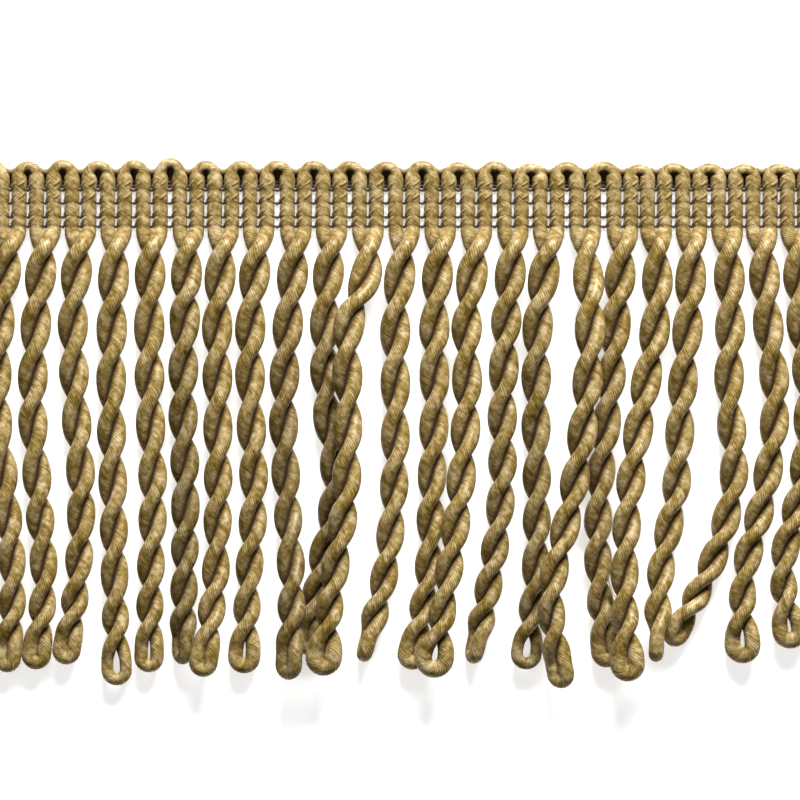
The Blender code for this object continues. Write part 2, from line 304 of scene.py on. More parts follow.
class HeadingSettings(PropertyGroup):
    """The woven heading."""

    run_radius: FloatProperty(
        name="Run radius",
        description="Radius of an upright run of cord between stitches",
        default=7.8 * STEP,
        unit="LENGTH",
    )
    pinch: FloatProperty(
        name="Pinch",
        description="How much a stitch narrows the cord, as a share of its radius",
        default=0.09,
        subtype="FACTOR",
    )
    thread_radius: FloatProperty(
        name="Thread radius",
        description="Radius of the binding thread",
        default=1.15 * STEP,
        unit="LENGTH",
    )
    thread_colour: FloatVectorProperty(
        name="Thread colour",
        description="Colour of the chain stitches' legs",
        default=(0.33, 0.232, 0.08),
        subtype="COLOR",
    )
    # Painted shade: the sunk thread is coloured near black for the shade in the creases between the
    # puffs and in the gaps.
    row_shade_colour: FloatVectorProperty(
        name="Row colour",
        description="Colour of the thread that is sunk between the puffs",
        default=(0.07, 0.035, 0.010),
        subtype="COLOR",
    )
    saddle_colour: FloatVectorProperty(
        name="Saddle colour",
        description="Colour of the thread that closes the valley between two arches",
        default=(0.22, 0.15, 0.05),
        subtype="COLOR",
    )
    # The warp threads' dark brown is partly their own colour and partly painted shade under the
    # arches.
    backing_and_shade_colour: FloatVectorProperty(
        name="Backing colour",
        description="Colour of the warp threads behind the arches",
        default=(0.085, 0.04, 0.018),
        subtype="COLOR",
    )


class StageSettings(PropertyGroup):
    """Floor, lights and camera."""

    camera_height: FloatProperty(
        name="Camera height",
        description="Height of the camera above the trim's face",
        default=0.6,
        unit="LENGTH",
    )
    face_height: FloatProperty(
        name="Face height",
        description="Height of the plane that fills the photograph's frame exactly",
        default=0.004,
        unit="LENGTH",
    )
    key_power: FloatProperty(
        name="Key power",
        description="Power of the light beyond the heading, in watts",
        default=13.8,
    )
    wash_power: FloatProperty(
        name="Wash power",
        description="Power of the light that only the floor receives, in watts",
        default=13.5,
    )
    world_strength: FloatProperty(
        name="World strength",
        description="Strength of the even light from all sides",
        default=0.035,
    )
    floor_colour: FloatVectorProperty(
        name="Floor colour",
        description="Colour of the plain pale floor",
        default=(0.9, 0.9, 0.9),
        subtype="COLOR",
    )


def in_frame(places):
    """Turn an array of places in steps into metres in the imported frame."""
    metres = np.asarray(places, dtype=float) * STEP
    return metres + np.array((ZERO_X, ZERO_Y, 0.0))


def smooth_between(places, values, at):
    """A cubic curve through values at places, read at each of at. It starts level."""
    places = np.asarray(places, dtype=float)
    values = np.asarray(values, dtype=float)
    slopes = np.gradient(values, places)
    slopes[0] = 0.0
    index = np.clip(np.searchsorted(places, at, side="right") - 1, 0, len(places) - 2)
    span = places[index + 1] - places[index]
    t = (at - places[index]) / span
    return (
        (2 * t**3 - 3 * t**2 + 1) * values[index]
        + (t**3 - 2 * t**2 + t) * span * slopes[index]
        + (3 * t**2 - 2 * t**3) * values[index + 1]
        + (t**3 - t**2) * span * slopes[index + 1]
    )


def ease(value):
    """0 below 0 and 1 above 1, with a smooth step between."""
    value = np.clip(value, 0.0, 1.0)
    return value * value * (3.0 - 2.0 * value)


class Wander:
    """A slow seeded unevenness, read by the length along something."""

    def __init__(self, seed, wavelength, size):
        rng = np.random.default_rng(seed)
        self.wavelengths = wavelength * rng.uniform(0.6, 1.7, 3)
        self.phases = rng.uniform(0.0, 2 * pi, 3)
        self.size = size / sqrt(3.0)

    def at(self, along):
        waves = [np.sin(2 * pi * along / w + p) for w, p in zip(self.wavelengths, self.phases)]
        return self.size * sum(waves)


def drift_stations(number):
    """Where down a bullion its drift is given, as shares of its drop, and the drift there."""
    bullion = BULLIONS[number]
    drifts = {0.0: 0.0, 0.2: bullion.d20, 0.4: bullion.d40, 0.6: bullion.d60, 0.8: bullion.d80}
    drifts[1.0] = bullion.d100
    if number in STEPS_ASIDE:
        drifts[0.1] = STEPS_ASIDE[number]
    places = sorted(drifts)
    return places, [drifts[place] for place in places]


class BullionPath:
    """One bullion's axis and its two plies, read by the length along the axis, in steps."""

    SAMPLES = 260

    def __init__(self, number):
        bullion = BULLIONS[number]
        lifts = LIFTS.get(number, (0.0,) * 5)
        shares = np.linspace(0.0, 1.0, self.SAMPLES)
        fifths = (0.0, 0.2, 0.4, 0.6, 0.8, 1.0)
        self.x = bullion.root + smooth_between(*drift_stations(number), shares)
        self.y = -bullion.drop * shares
        self.lift = np.maximum(smooth_between(fifths, (0.0, *lifts), shares), 0.0)
        steps = np.hypot(np.diff(self.x), np.diff(self.y))
        self.along = np.concatenate(((0.0,), np.cumsum(steps)))
        self.length = self.along[-1]
        self.bullion = bullion
        self.loop_start = self.length - TIP_TO_LOOP_S
        self.unevenness = Wander(number + 40, UNEVEN_WAVE_S, UNEVEN_TURN)
        self.loop_ply = (bullion.loop - LOOP_HOLES.get(number, CLOSED_HOLE_S)) / 4
        self.loop_bend = bullion.loop / 2 - self.loop_ply
        self.lower_tone = SHADED.get(number, 1.0)
        # A loop that doesn't lie face up stands on its edge, so its tip is raised off the floor.
        facing = bullion.half_turns * pi
        stands = bullion.loop / 2 * abs(sin(facing)) + self.loop_ply * abs(cos(facing))
        self.tip_rise = max(stands - CORD_RADIUS_TIP_S, 0.0)

    def radius(self, along):
        share = along / self.length
        return CORD_RADIUS_TOP_S + (CORD_RADIUS_TIP_S - CORD_RADIUS_TOP_S) * share

    def angle(self, along):
        """How far the plies have turned, easing off over the last half-turn before the loop."""
        share = np.minimum(along / self.loop_start, 1.0)
        turned = share - TWIST_SLACK * np.sin(pi * share**TWIST_SKEW)
        turned = self.bullion.half_turns * turned
        left = np.minimum(self.bullion.half_turns - turned, 1.0)
        eased = np.where(left < 1.0, left * left * (2.0 - left), left)
        settled = np.where(left < 1.0, self.bullion.half_turns - eased, turned)
        end = ease((self.loop_start - along) / HELD_ENDS_S)
        free = ease(along / HELD_ENDS_S) * end
        flattened = FLAT_SETTLE * np.sin(2 * pi * settled) * end
        return settled * pi - flattened + self.unevenness.at(along) * free

    def axis(self, along):
        """Place, level direction across and direction down, as arrays."""
        x = np.interp(along, self.along, self.x)
        y = np.interp(along, self.along, self.y)
        ahead, behind = along + AXIS_REACH_S, along - AXIS_REACH_S
        dx = np.interp(ahead, self.along, self.x) - np.interp(behind, self.along, self.x)
        dy = np.interp(ahead, self.along, self.y) - np.interp(behind, self.along, self.y)
        size = np.hypot(dx, dy)
        down = np.stack((dx / size, dy / size, np.zeros_like(dx)), axis=1)
        across = np.stack((-dy / size, dx / size, np.zeros_like(dx)), axis=1)
        lift = np.interp(along, self.along, self.lift)
        return x, y, lift, across, down

    def ply(self, along, sign):
        """Centres of one ply, -1 the left and 1 the right one at the root, and its radius."""
        x, y, lift, across, _ = self.axis(along)
        angle = self.angle(along)
        half = self.radius(along) / 2
        apart = PAIR_HALF_S + (half * PLY_APART - PAIR_HALF_S) * ease(along / PLIES_CLOSE_S)
        opening = ease((along - self.loop_start + LOOP_OPENS_EARLY_S) / LOOP_OPENS_S)
        apart = apart + (self.loop_bend - apart) * opening
        first = np.sin(np.minimum(angle, pi / 2))
        rest = half + half * first + self.tip_rise * (along / self.length) ** 4
        z = rest + lift + REST_CLEARANCE_S
        centre = np.stack((x, y, z), axis=1)
        centre = centre + sign * apart[:, None] * across * np.cos(angle)[:, None]
        centre[:, 2] += sign * apart * np.sin(angle)
        swell = PLY_SWELL * np.cos(2.0 * angle) * ease(along / SWELL_GROWS_S)
        thick = half * (PLY_THICK + swell)
        thick = thick + (self.loop_ply - thick) * opening
        # The way to the twin ply, which the cord's material turns into painted shade where the plies
        # face each other. It grows in below the root and fades in the loop.
        inward = across * np.cos(angle)[:, None]
        inward[:, 2] = np.sin(angle)
        inward *= -sign * (ease(along / CREASE_SHADE_GROWS_S) * (1.0 - LOOP_SHADE_FADES * opening))[:, None]
        return centre, thick, inward

    def loop(self):
        """Centres round the loop, from the left ply's end to the right ply's end."""
        along = np.array((self.loop_start,))
        *_, across, down = self.axis(along)
        angle = float(self.angle(along)[0])
        left = self.ply(along, -1)[0]
        right = self.ply(along, 1)[0]
        middle = (left[0] + right[0]) / 2
        side = across[0] * cos(angle) + np.array((0.0, 0.0, 1.0)) * sin(angle)
        bend = self.loop_bend
        straight = max(TIP_TO_LOOP_S - self.loop_ply - bend, 1.0)
        turns = np.linspace(pi, 0.0, LOOP_POINTS)
        centres = [middle - side * bend + down[0] * straight * 0.5]
        for turn in turns:
            centres.append(middle + side * bend * cos(turn) + down[0] * (straight + bend * sin(turn)))
        centres.append(middle + side * bend + down[0] * straight * 0.5)
        centres = np.array(centres)
        return centres, np.full(len(centres), self.loop_ply), np.zeros_like(centres)

    def tone(self, along):
        """How bright a bullion is, which falls over its upper half where it is shaded."""
        return 1.0 + (self.lower_tone - 1.0) * ease(2.0 * along / self.length)


def run_points(x, settings):
    """A stretch of cord up one run, from its lower end to the arch's spring."""
    y = np.arange(0.0, SPRING_S, RUN_POINT_SPACING_S)
    squeeze = sum(np.exp(-(((y - row) / PINCH_REACH_S) ** 2)) for row in STITCH_ROWS_S)
    thick = settings.run_radius / STEP * (1.0 - settings.pinch * np.minimum(squeeze, 1.0))
    thick = thick * (1.0 + SHOULDER_SWELL * ease((y - SHOULDER_S) / SHOULDER_RISE_S))
    centre = np.stack((np.full_like(y, x), y, np.full_like(y, RUN_HEIGHT_S)), axis=1)
    return centre, thick, np.zeros_like(centre), np.ones(len(thick))


def arch_points(before, start, end):
    """A stretch of cord over the arch after a bullion, between two turns of its half circle."""
    turns = np.radians(np.arange(start, end + ARCH_STEP_DEG / 2, ARCH_STEP_DEG))
    left, right = BULLIONS[before].root + PAIR_HALF_S, BULLIONS[before + 1].root - PAIR_HALF_S
    middle, half = (left + right) / 2, (right - left) / 2
    uneven = np.random.default_rng(before + 70).uniform(-1.0, 1.0)
    rise = half - ARCH_FALL * (middle - BULLIONS[0].root) + uneven + TALL_ARCHES.get(before, 0.0)
    x = middle - half * np.cos(turns)
    y = SPRING_S + rise * np.sin(turns)
    centre = np.stack((x, y, np.full_like(x, RUN_HEIGHT_S)), axis=1)
    # Painted shade on the inner side of the arch: the way into the arch's middle, set against the
    # skin's normal, darkens the inner side of the tube.
    inward = np.stack((middle - x, SPRING_S - y, np.zeros_like(x)), axis=1)
    inward *= ARCH_SHADE_REACH * np.sin(turns)[:, None] / np.linalg.norm(inward, axis=1)[:, None]
    thick = np.full(len(x), ARCH_RADIUS_S)
    if ARCH_TOP_DEG < end < ARCH_END_DEG:
        thick[-1] *= HIDDEN_END_TAPER
    return centre, thick, inward, np.ones(len(thick))


def cord_route(first, last, settings):
    """The cord's route through bullions, joined from stretches.

    The route and each stretch have places, radii, ways to the twin ply or into an arch, which set
    painted shade, and brightness, which is painted shade on bullions that lie in their neighbours'
    shade. Where a piece ends at an arch's top, its end lies one step inside the next piece.
    """
    stretches = []
    if first > 0:
        stretches.append(arch_points(first - 1, ARCH_TOP_DEG, ARCH_END_DEG))
    for number in range(first, last + 1):
        root = BULLIONS[number].root
        path = BullionPath(number)
        along = np.arange(PLY_START_S, path.loop_start, PLY_POINT_SPACING_S)
        for side in (-1, 1):
            run = run_points(root + side * PAIR_HALF_S, settings)
            ply, ply_thick, inward = path.ply(along, side)
            ply_thick = run[1][0] + (ply_thick - run[1][0]) * ease(along / PLIES_THICKEN_S)
            settled = ease((along + PLIES_SETTLED_S) / PLIES_SETTLE_S)
            ply[:, 2] = RUN_HEIGHT_S + (ply[:, 2] - RUN_HEIGHT_S) * settled
            hanging = (ply, ply_thick, inward, path.tone(along))
            if side < 0:
                loop = path.loop()
                stretches += [[part[::-1] for part in run], hanging]
                stretches.append((*loop, np.full(len(loop[1]), path.lower_tone)))
            else:
                stretches += [[part[::-1] for part in hanging], run]
        if number + 1 < len(BULLIONS):
            end = ARCH_TOP_DEG + ARCH_STEP_DEG if number == last else ARCH_END_DEG
            stretches.append(arch_points(number, ARCH_STEP_DEG, end))
    centres, radii, inwards, tones = (np.concatenate(part) for part in zip(*stretches))
    return in_frame(centres), radii * STEP, inwards, tones


def feed(tree, socket, value):
    """Link a socket to another node's output, or set its value."""
    if isinstance(value, bpy.types.NodeSocket):
        tree.links.new(value, socket)
    else:
        socket.default_value = value


def node_of(tree, kind, settings=None, **inputs):
    """Add a node, set its properties, and link or set its inputs, named with underscores."""
    node = tree.nodes.new(kind)
    for key, value in (settings or {}).items():
        setattr(node, key, value)
    for key, value in inputs.items():
        feed(tree, node.inputs[key.replace("_", " ")], value)
    return node


def maths_of(tree, operation, first, second):
    node = node_of(tree, "ShaderNodeMath", {"operation": operation})
    feed(tree, node.inputs[0], first)
    feed(tree, node.inputs[1], second)
    return node.outputs[0]


class Tree:
    """A Geometry Nodes tree that is built step by step."""

    def __init__(self, name):
        self.tree = bpy.data.node_groups.new(name, "GeometryNodeTree")
        self.tree.interface.new_socket("Geometry", in_out="OUTPUT", socket_type="NodeSocketGeometry")
        self.add_input("Geometry", "NodeSocketGeometry")
        self.inlet = self.tree.nodes.new("NodeGroupInput")
        self.outlet = self.tree.nodes.new("NodeGroupOutput")

    def add_input(self, name, kind):
        return self.tree.interface.new_socket(name, in_out="INPUT", socket_type=kind)

    def given(self, name):
        return self.inlet.outputs[name]

    def add(self, kind, settings=None, **inputs):
        return node_of(self.tree, kind, settings, **inputs)

    def maths(self, operation, first, second):
        return maths_of(self.tree, operation, first, second)

    def store(self, geometry, name, value):
        settings = {"data_type": "FLOAT", "domain": "POINT"}
        node = self.add(
            "GeometryNodeStoreNamedAttribute", settings, Geometry=geometry, Name=name, Value=value
        )
        return node.outputs["Geometry"]

    def finish(self, geometry, material):
        """Realize, give the material and leave the tree."""
        real = self.add("GeometryNodeRealizeInstances", Geometry=geometry)
        dressed = self.add(
            "GeometryNodeSetMaterial", Geometry=real.outputs[0], Material=material
        )
        self.tree.links.new(dressed.outputs[0], self.outlet.inputs["Geometry"])
        return self.tree


def gimp_tree():
    """Wraps yarns round a path: the lobed section turns once in each wrap lead."""
    tree = Tree("wrap_gimp_cord")
    tree.add_input("Yarns", "NodeSocketInt")
    tree.add_input("Wrap lead", "NodeSocketFloat")
    tree.add_input("Ridge depth", "NodeSocketFloat")
    tree.add_input("Ring spacing", "NodeSocketFloat")
    tree.add_input("Material", "NodeSocketMaterial")
    path = tree.add("GeometryNodeMeshToCurve", Mesh=tree.given("Geometry"))
    even = tree.add(
        "GeometryNodeResampleCurve",
        {"mode": "LENGTH"},
        Curve=path.outputs[0],
        Length=tree.given("Ring spacing"),
    )
    spline = tree.add("GeometryNodeSplineParameter")
    turns = tree.maths("DIVIDE", spline.outputs["Length"], tree.given("Wrap lead"))
    tilt = tree.maths("MULTIPLY", turns, -2 * pi)
    tilted = tree.add("GeometryNodeSetCurveTilt", Curve=even.outputs[0], Tilt=tilt)
    measured = tree.store(tilted.outputs[0], "along", spline.outputs["Length"])
    # The section has two points for each yarn: the even ones are crests, the odd ones grooves.
    points = tree.maths("MULTIPLY", tree.given("Yarns"), 2.0)
    ring = tree.add("GeometryNodeCurvePrimitiveCircle", Resolution=points, Radius=1.0)
    index = tree.add("GeometryNodeInputIndex")
    odd = tree.maths("MODULO", index.outputs[0], 2.0)
    groove = tree.maths("MULTIPLY", odd, tree.given("Ridge depth"))
    kept = tree.maths("SUBTRACT", 1.0, groove)
    here = tree.add("GeometryNodeInputPosition")
    drawn = tree.add("ShaderNodeVectorMath", {"operation": "SCALE"})
    tree.tree.links.new(here.outputs[0], drawn.inputs[0])
    tree.tree.links.new(kept, drawn.inputs["Scale"])
    lobed = tree.add(
        "GeometryNodeSetPosition", Geometry=ring.outputs[0], Position=drawn.outputs["Vector"]
    )
    crest = tree.maths("SUBTRACT", 1.0, odd)
    marked = tree.store(lobed.outputs[0], "crest", crest)
    numbered = tree.store(marked, "yarn", tree.maths("MULTIPLY", index.outputs[0], 0.5))
    thick = tree.add("GeometryNodeInputNamedAttribute", {"data_type": "FLOAT"}, Name="thick")
    skin = tree.add(
        "GeometryNodeCurveToMesh",
        Curve=measured,
        Profile_Curve=numbered,
        Scale=thick.outputs["Attribute"],
        Fill_Caps=True,
    )
    # Painted shade mask: how far each point of the skin faces along the inward way, towards the twin
    # ply or into an arch.
    twin = tree.add(
        "GeometryNodeInputNamedAttribute", {"data_type": "FLOAT_VECTOR"}, Name="inward"
    )
    normal = tree.add("GeometryNodeInputNormal")
    facing = tree.add("ShaderNodeVectorMath", {"operation": "DOT_PRODUCT"})
    tree.tree.links.new(twin.outputs["Attribute"], facing.inputs[0])
    tree.tree.links.new(normal.outputs[0], facing.inputs[1])
    crease_shaded = tree.store(skin.outputs[0], "tuck", facing.outputs["Value"])
    smooth = tree.add("GeometryNodeSetShadeSmooth", Geometry=crease_shaded)
    return tree.finish(smooth.outputs[0], tree.given("Material"))


def thread_tree():
    """Gives a path a plain round section."""
    tree = Tree("lay_thread")
    tree.add_input("Sides", "NodeSocketInt")
    tree.add_input("Material", "NodeSocketMaterial")
    path = tree.add("GeometryNodeMeshToCurve", Mesh=tree.given("Geometry"))
    ring = tree.add("GeometryNodeCurvePrimitiveCircle", Resolution=tree.given("Sides"), Radius=1.0)
    thick = tree.add("GeometryNodeInputNamedAttribute", {"data_type": "FLOAT"}, Name="thick")
    skin = tree.add(
        "GeometryNodeCurveToMesh",
        Curve=path.outputs[0],
        Profile_Curve=ring.outputs["Curve"],
        Scale=thick.outputs["Attribute"],
        Fill_Caps=True,
    )
    smooth = tree.add("GeometryNodeSetShadeSmooth", Geometry=skin.outputs[0])
    return tree.finish(smooth.outputs[0], tree.given("Material"))


def path_mesh(name, routes):
    """A mesh of polylines. A route has places, radii and, on the cord, two more attributes."""
    verts, edges, thick, inward, tone = [], [], [], [], []
    for places, radii, *extras in routes:
        start = len(verts)
        verts += [tuple(place) for place in places]
        edges += [(start + i, start + i + 1) for i in range(len(places) - 1)]
        thick += list(radii)
        ways, tones = extras or (np.zeros_like(places), np.ones(len(places)))
        inward += [tuple(way) for way in ways]
        tone += list(tones)
    mesh = bpy.data.meshes.new(name)
    mesh.from_pydata(verts, edges, [])
    mesh.attributes.new("thick", "FLOAT", "POINT").data.foreach_set("value", thick)
    mesh.attributes.new("tone", "FLOAT", "POINT").data.foreach_set("value", tone)
    ways = mesh.attributes.new("inward", "FLOAT_VECTOR", "POINT")
    ways.data.foreach_set("vector", np.ravel(inward))
    return mesh


def dress_path(name, routes, tree, values):
    """Run a tree on polylines and leave its result as a plain mesh object."""
    rough = bpy.data.objects.new(f"{name}_path", path_mesh(f"{name}_path", routes))
    bpy.context.scene.collection.objects.link(rough)
    modifier = rough.modifiers.new("nodes", "NODES")
    modifier.node_group = tree
    for item in tree.interface.items_tree:
        if item.in_out == "INPUT" and item.name in values:
            modifier[item.identifier] = values[item.name]
    rough.update_tag()
    graph = bpy.context.evaluated_depsgraph_get()
    mesh = bpy.data.meshes.new_from_object(rough.evaluated_get(graph))
    bpy.data.objects.remove(rough, do_unlink=True)
    if not mesh.polygons:
        raise RuntimeError(f"the tree for {name} made no faces")
    mesh.name = name
    piece = bpy.data.objects.new(name, mesh)
    bpy.context.scene.collection.objects.link(piece)
    return piece


def keep_piece(piece, *nodes, slot):
    """Ride on the root and stand for CAD nodes. The slot is not used."""
    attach(piece, "root")
    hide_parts(*nodes)


def attribute_of(tree, name):
    """The value of an attribute that the cord's mesh carries."""
    return node_of(tree, "ShaderNodeAttribute", {"attribute_name": name}).outputs["Fac"]


def mix_of(tree, share, first, second):
    """Mix two colours. The node's colour sockets are inputs 6 and 7 and output 2."""
    node = node_of(tree, "ShaderNodeMix", {"data_type": "RGBA"}, Factor=share)
    feed(tree, node.inputs[6], first)
    feed(tree, node.inputs[7], second)
    return node.outputs[2]


def new_material(name):
    """A new material, its tree and its shader."""
    material = bpy.data.materials.new(name)
    material.use_nodes = True
    return material, material.node_tree, material.node_tree.nodes["Principled BSDF"]


def streak_group():
    """Filaments of a rayon yarn: fine streaks and broad patches, both drawn out along it."""
    name = "rayon_streaks"
    if name in bpy.data.node_groups:
        return bpy.data.node_groups[name]
    group = bpy.data.node_groups.new(name, "ShaderNodeTree")
    for label in ("Along", "Across"):
        group.interface.new_socket(label, in_out="INPUT", socket_type="NodeSocketFloat")
    for label in ("Streak", "Patch"):
        group.interface.new_socket(label, in_out="OUTPUT", socket_type="NodeSocketFloat")
    inlet = group.nodes.new("NodeGroupInput")
    outlet = group.nodes.new("NodeGroupOutput")
    drawn_out = maths_of(group, "MULTIPLY", inlet.outputs["Along"], STREAKS_A_METRE)
    place = node_of(group, "ShaderNodeCombineXYZ", X=drawn_out, Y=inlet.outputs["Across"])
    fine = node_of(group, "ShaderNodeTexNoise", Vector=place.outputs[0], Scale=1.4, Detail=2.0)
    broad = node_of(group, "ShaderNodeTexNoise", Vector=place.outputs[0], Scale=0.23, Detail=1.0)
    group.links.new(fine.outputs["Fac"], outlet.inputs["Streak"])
    group.links.new(broad.outputs["Fac"], outlet.inputs["Patch"])
    return group


def rayon_material(settings):
    """Shiny rayon wrap: light crests, painted shade in the grooves between yarns, streaks along the
    yarns, and painted shade, rough and dark, in the creases between plies and inside the arches.
    """
    material, tree, shader = new_material("rayon_wrap")
    tuck = attribute_of(tree, "tuck")
    streaks = node_of(
        tree,
        "ShaderNodeGroup",
        {"node_tree": streak_group()},
        Along=attribute_of(tree, "along"),
        Across=attribute_of(tree, "yarn"),
    )
    # Painted shade in the grooves between the yarns: the groove colour is mixed in away from the
    # crests.
    depth = node_of(tree, "ShaderNodeMapRange", Value=attribute_of(tree, "crest"), From_Max=0.75)
    ends = ((*settings.shade, 1.0), (*settings.highlight, 1.0))
    colour = mix_of(tree, depth.outputs[0], *ends)
    marks = maths_of(tree, "ADD", streaks.outputs["Patch"], streaks.outputs["Streak"])
    bright = node_of(
        tree, "ShaderNodeMapRange", Value=marks, From_Min=0.7, From_Max=1.3, To_Min=0.42, To_Max=1.56
    )
    where = tree.nodes.new("ShaderNodeTexCoord").outputs["Object"]
    mottle = node_of(tree, "ShaderNodeTexNoise", Vector=where, Scale=1100.0, Detail=2.0)
    uneven = node_of(
        tree,
        "ShaderNodeMapRange",
        Value=mottle.outputs["Fac"],
        From_Min=0.35,
        From_Max=0.65,
        To_Min=0.7,
        To_Max=1.32,
    )
    both = maths_of(tree, "MULTIPLY", bright.outputs[0], uneven.outputs[0])
    pale = node_of(
        tree, "ShaderNodeMapRange", Value=both, From_Min=0.6, From_Max=1.5, To_Min=1.14, To_Max=0.74
    )
    shaded = maths_of(tree, "MULTIPLY", both, attribute_of(tree, "tone"))
    tone = node_of(
        tree, "ShaderNodeHueSaturation", Color=colour, Value=shaded, Saturation=pale.outputs[0]
    )
    smooth = {"interpolation_type": "SMOOTHSTEP"}
    # Painted shade in the creases between the plies and inside the arches: the crease colour is mixed
    # in where the mask is high.
    deep = node_of(tree, "ShaderNodeMapRange", smooth, Value=tuck, From_Min=0.02, From_Max=0.8)
    crease_shaded = mix_of(tree, deep.outputs[0], tone.outputs[0], (*settings.crease_shade_colour, 1.0))
    tree.links.new(crease_shaded, shader.inputs["Base Color"])
    rough = node_of(
        tree, "ShaderNodeMapRange", Value=streaks.outputs["Streak"], To_Min=0.3, To_Max=0.52
    )
    dull = node_of(tree, "ShaderNodeMapRange", Value=tuck, From_Min=-0.35, From_Max=0.3, To_Min=0.3)
    roughest = maths_of(tree, "MAXIMUM", rough.outputs[0], dull.outputs[0])
    tree.links.new(roughest, shader.inputs["Roughness"])
    bump = node_of(
        tree, "ShaderNodeBump", Height=streaks.outputs["Streak"], Strength=0.35, Distance=0.00006
    )
    tree.links.new(bump.outputs[0], shader.inputs["Normal"])
    shader.inputs["Specular IOR Level"].default_value = 0.5
    shader.inputs["Specular Tint"].default_value = (1.0, 0.93, 0.75, 1.0)
    shader.inputs["Sheen Weight"].default_value = 0.05
    shader.inputs["Sheen Roughness"].default_value = 0.4
    return material


def thread_material(name, tint, roughness):
    """Spun thread, a little mottled."""
    material, tree, shader = new_material(name)
    where = tree.nodes.new("ShaderNodeTexCoord").outputs["Object"]
    mottle = node_of(tree, "ShaderNodeTexNoise", Vector=where, Scale=2600.0).outputs["Fac"]
    bright = node_of(tree, "ShaderNodeMapRange", Value=mottle, To_Min=0.6, To_Max=1.35)
    tone = node_of(
        tree, "ShaderNodeHueSaturation", Color=(*tint, 1.0), Value=bright.outputs[0]
    )
    tree.links.new(tone.outputs[0], shader.inputs["Base Color"])
    bump = node_of(tree, "ShaderNodeBump", Height=mottle, Strength=0.4, Distance=0.00005)
    tree.links.new(bump.outputs[0], shader.inputs["Normal"])
    shader.inputs["Roughness"].default_value = roughness
    shader.inputs["Sheen Weight"].default_value = 0.2
    return material


class FRINGE_OT_gimp_cord(Operator):
    """Lay the gimped cord through the heading and down and up every bullion"""

    bl_idname = "fringe.gimp_cord"
    bl_label = "Lay the gimped cord"

    def execute(self, context):
        gimp = context.scene.fringe_gimp
        heading = context.scene.fringe_heading
        material = rayon_material(gimp)
        tree = gimp_tree()
        values = {
            "Yarns": gimp.yarns,
            "Wrap lead": gimp.wrap_lead,
            "Ridge depth": gimp.ridge_depth,
            "Ring spacing": gimp.ring_spacing,
            "Material": material,
        }
        for first in range(0, len(BULLIONS), BULLIONS_PER_PIECE):
            last = min(first + BULLIONS_PER_PIECE, len(BULLIONS)) - 1
            route = cord_route(first, last, heading)
            name = f"gimp_cord_{first // BULLIONS_PER_PIECE + 1}"
            piece = dress_path(name, [route], tree, values)
            keep_piece(piece, "heading", "bullion_fringe", slot="bullion_gimp")
        radii = [gimp.loose_radius] * len(LOOSE_YARN_S)
        material = thread_material("loose_yarn", gimp.loose_colour, roughness=0.5)
        values = {"Sides": THREAD_SIDES, "Material": material}
        piece = dress_path("loose_yarn", [(in_frame(LOOSE_YARN_S), radii)], thread_tree(), values)
        keep_piece(piece, "bullion_fringe", slot="bullion_gimp")
        return {"FINISHED"}


def run_places():
    """X of each upright run, two for each bullion, in steps."""
    sides = (-PAIR_HALF_S, PAIR_HALF_S)
    return [bullion.root + side for bullion in BULLIONS for side in sides]


def row_route(row, settings):
    """A binding thread across the heading: sunk into each run, and low and deep in each gap."""
    runs = run_places()
    reach = settings.run_radius / STEP * (1.0 - settings.pinch)
    places, radii = [], []
    for number, run in enumerate(runs):
        for degrees in ROW_TURNS_DEG:
            turn = radians(degrees)
            rise = CREASE_RISE_S * sin(turn)
            places.append((run - reach * cos(turn), row + rise, RUN_HEIGHT_S + reach * sin(turn)))
            radii.append(settings.thread_radius * (1.0 - ROW_SINK * sqrt(sin(turn))))
        if number + 1 < len(runs):
            places.append(((run + runs[number + 1]) / 2, row, RUN_HEIGHT_S - GAP_DEPTH_S))
            radii.append(settings.thread_radius * GAP_SWELL)
    return in_frame(places), radii


def back_route(row, settings):
    """The same row's thread on the back, drawn straight from run to run."""
    runs = run_places()
    thread = settings.thread_radius / STEP
    places = []
    for run in runs:
        for shift in (-RUN_SPACING_S / 2, 0.0):
            height = thread if shift == 0.0 else thread * BACK_LIFT
            places.append((run + shift, row + BACK_SHIFT_S, height))
    # The first place would lie in a gap outside the heading.
    places = places[1:]
    return in_frame(places), [settings.thread_radius] * len(places)


def leg_route(run, row, side, seed, settings):
    """A chain stitch's leg: up out of a gap and slantwise over one side of the run."""
    rng = np.random.default_rng(seed)
    reach = settings.run_radius / STEP - LEG_SINK_S
    first, start = LEGS[side].first_deg, LEGS[side].start
    length = LEGS[side].length * rng.uniform(0.85, 1.15)
    last = LEGS[side].last_deg * rng.uniform(0.9, 1.1)
    thick = settings.thread_radius * rng.uniform(0.95, 1.45)
    places, radii = [], []
    for share in np.linspace(0.0, 1.0, LEG_POINTS):
        turn = radians(first + (last - first) * share)
        y = row + start + length * share
        out = reach - LEG_DIP_S * (2.0 * abs(share - 0.5)) ** 6
        places.append((run + side * out * cos(turn), y, RUN_HEIGHT_S + out * sin(turn)))
        radii.append(thick)
    return in_frame(places), radii


